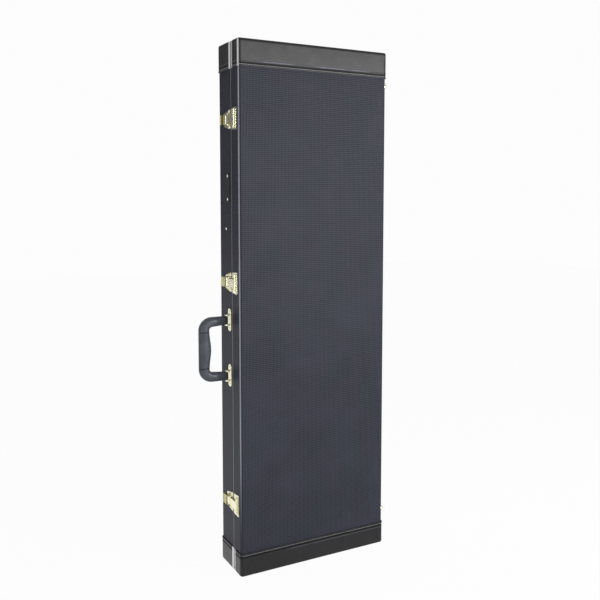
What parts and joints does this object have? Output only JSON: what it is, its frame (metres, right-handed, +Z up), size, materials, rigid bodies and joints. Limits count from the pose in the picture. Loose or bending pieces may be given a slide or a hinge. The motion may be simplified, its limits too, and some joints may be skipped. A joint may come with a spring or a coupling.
{
  "type": "electric guitar case",
  "caption": "Rectangular hardshell guitar case with a side-hinged lid, draw latches on the long side, a swinging handle, capped ends and a padded interior with a flap pocket.",
  "frame": {"origin": "middle of the closed case's tail end, on the base half's tail cap, mid-width and mid-depth", "axes": "+Z up the case from tail end to head end, -Y out of the lid, +Y out of the base's back, -X out of the latch and handle side, +X out of the hinge side"},
  "size_m": [0.413, 0.102, 1.06],
  "materials": {
    "plywood": "raw",
    "embossed_vinyl": "embossed satin",
    "smooth_leatherette": "semi-gloss",
    "polished_aluminium": "polished",
    "plush": "short pile",
    "ribbon": "woven",
    "gold_plate": "bright plated",
    "steel": "nickel plated",
    "moulded_handle": "moulded satin",
    "black_plate": "satin black"
  },
  "bodies": {
    "base": {"accessory_box": "plush", "base_covering": "embossed_vinyl", "base_feet": "gold_plate", "base_head_cap": "smooth_leatherette", "base_lining": "plush", "base_shell": "plywood", "base_tail_cap": "smooth_leatherette", "base_valance": "polished_aluminium", "handle_pins": "gold_plate", "handle_plate_lower": "gold_plate", "handle_plate_upper": "gold_plate", "handle_rivets": "gold_plate", "headstock_pad": "plush", "hinge_base_leaf_lower": "gold_plate", "hinge_base_leaf_middle": "gold_plate", "hinge_base_leaf_upper": "gold_plate", "hinge_pins": "steel", "hinge_rivets_base": "gold_plate", "latch_pivot_pins": "steel", "latch_plate_lower": "gold_plate", "latch_plate_middle": "gold_plate", "latch_plate_upper": "gold_plate", "latch_rivets_base": "gold_plate", "nameplate": "black_plate", "nameplate_rivets": "steel", "neck_cradle": "plush", "neck_side_block": "plush", "shoulder_pads": "plush", "side_stud": "steel", "tail_pad": "plush", "waist_pads": "plush"},
    "lid": {"lid_shell": "plywood", "lid_covering": "embossed_vinyl", "lid_tail_cap": "smooth_leatherette", "lid_head_cap": "smooth_leatherette", "lid_valance": "polished_aluminium", "lid_lining": "plush", "lid_pad": "plush", "hinge_rivets_lid": "gold_plate", "latch_rivets_lid": "gold_plate", "lid_feet": "gold_plate", "hinge_lid_leaf_lower": "gold_plate", "hinge_lid_leaf_middle": "gold_plate", "hinge_lid_leaf_upper": "gold_plate", "latch_catch_lower": "gold_plate", "latch_catch_middle": "gold_plate", "latch_catch_upper": "gold_plate"},
    "handle": {"handle_grip": "moulded_handle", "handle_core": "steel"},
    "pocket_flap": {"pocket_lid": "plush", "pocket_tab": "ribbon"},
    "lever_lower": {"latch_lever_lower": "gold_plate"},
    "loop_lower": {"latch_loop_lower": "gold_plate"},
    "lever_middle": {"latch_lever_middle": "gold_plate"},
    "loop_middle": {"latch_loop_middle": "gold_plate"},
    "lever_upper": {"latch_lever_upper": "gold_plate"},
    "loop_upper": {"latch_loop_upper": "gold_plate"}
  },
  "joints": [
    {"name": "lid_hinge", "type": "hinge", "parent": "base", "child": "lid", "pos_m": [0.174, -0.014, 0.53], "axis": [0, 0, 1], "range_deg": [0, 105]},
    {"name": "latch_lower_lever", "type": "hinge", "parent": "base", "child": "lever_lower", "pos_m": [-0.1721, -0.005, 0.142], "axis": [0, 0, 1], "range_deg": [0, 100]},
    {"name": "latch_lower_loop", "type": "hinge", "parent": "lever_lower", "child": "loop_lower", "pos_m": [-0.1727, 0.0035, 0.142], "axis": [0, 0, 1], "range_deg": [-121, 0]},
    {"name": "latch_middle_lever", "type": "hinge", "parent": "base", "child": "lever_middle", "pos_m": [-0.1721, -0.005, 0.59], "axis": [0, 0, 1], "range_deg": [0, 100]},
    {"name": "latch_middle_loop", "type": "hinge", "parent": "lever_middle", "child": "loop_middle", "pos_m": [-0.1727, 0.0035, 0.59], "axis": [0, 0, 1], "range_deg": [-121, 0]},
    {"name": "latch_upper_lever", "type": "hinge", "parent": "base", "child": "lever_upper", "pos_m": [-0.1721, -0.005, 0.91], "axis": [0, 0, 1], "range_deg": [0, 100]},
    {"name": "latch_upper_loop", "type": "hinge", "parent": "lever_upper", "child": "loop_upper", "pos_m": [-0.1727, 0.0035, 0.91], "axis": [0, 0, 1], "range_deg": [-121, 0]},
    {"name": "handle_swing", "type": "hinge", "parent": "base", "child": "handle", "pos_m": [-0.175, -0.0005, 0.4575], "axis": [0, 0, 1], "range_deg": [-75, 75]},
    {"name": "pocket_flap_hinge", "type": "hinge", "parent": "base", "child": "pocket_flap", "pos_m": [0.1547, -0.0093, 0.638], "axis": [0, 0, 1], "range_deg": [0, 95]}
  ],
  "couplings": [
    {"joint": "latch_lower_loop", "follows": "latch_lower_lever", "ratio": -1.2},
    {"joint": "latch_middle_loop", "follows": "latch_middle_lever", "ratio": -1.2},
    {"joint": "latch_upper_loop", "follows": "latch_upper_lever", "ratio": -1.2},
    {"joint": "pocket_flap_hinge", "follows": "lid_hinge", "ratio": 0.9}
  ]
}
